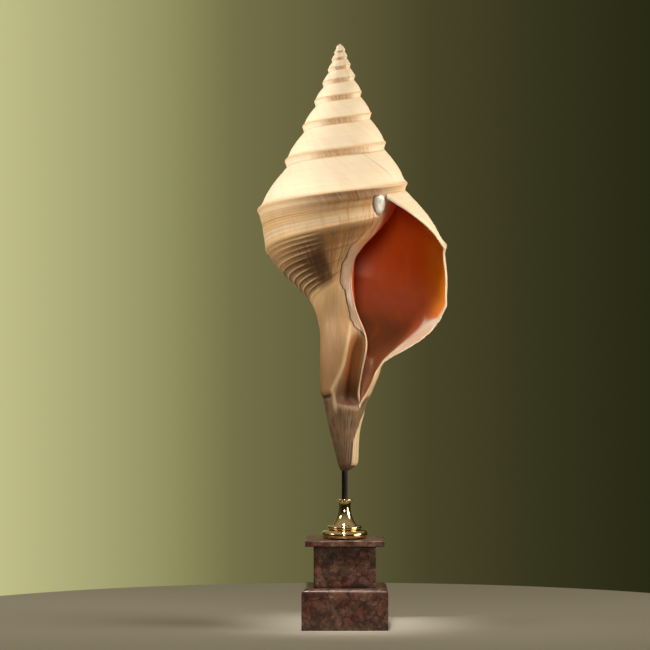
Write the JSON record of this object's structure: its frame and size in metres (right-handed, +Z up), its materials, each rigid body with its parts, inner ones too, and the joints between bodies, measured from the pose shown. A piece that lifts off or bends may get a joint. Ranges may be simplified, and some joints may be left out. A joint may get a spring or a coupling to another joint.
{
  "type": "trumpet shell on a display stand",
  "caption": "Large spindle-shaped trumpet shell shown apex up with its red-orange mouth open, on a rod, a turned brass foot and a stepped marble pedestal.",
  "frame": {"origin": "middle of the plinth's underside", "axes": "+Z up along the shell, -Y the side that the shell's mouth opens to, +X the side of its outer lip"},
  "size_m": [0.2218, 0.196, 0.686],
  "materials": {
    "shell": "cream to tan shell, satin outside and glossy red-orange inside",
    "rod": "blackened satin",
    "brass": "polished",
    "marble": "polished, veined red and grey"
  },
  "bodies": {
    "root": {"shell": "shell", "rod": "rod", "brass_foot": "brass", "marble_cap": "marble", "marble_die": "marble", "marble_plinth": "marble"}
  },
  "joints": []
}
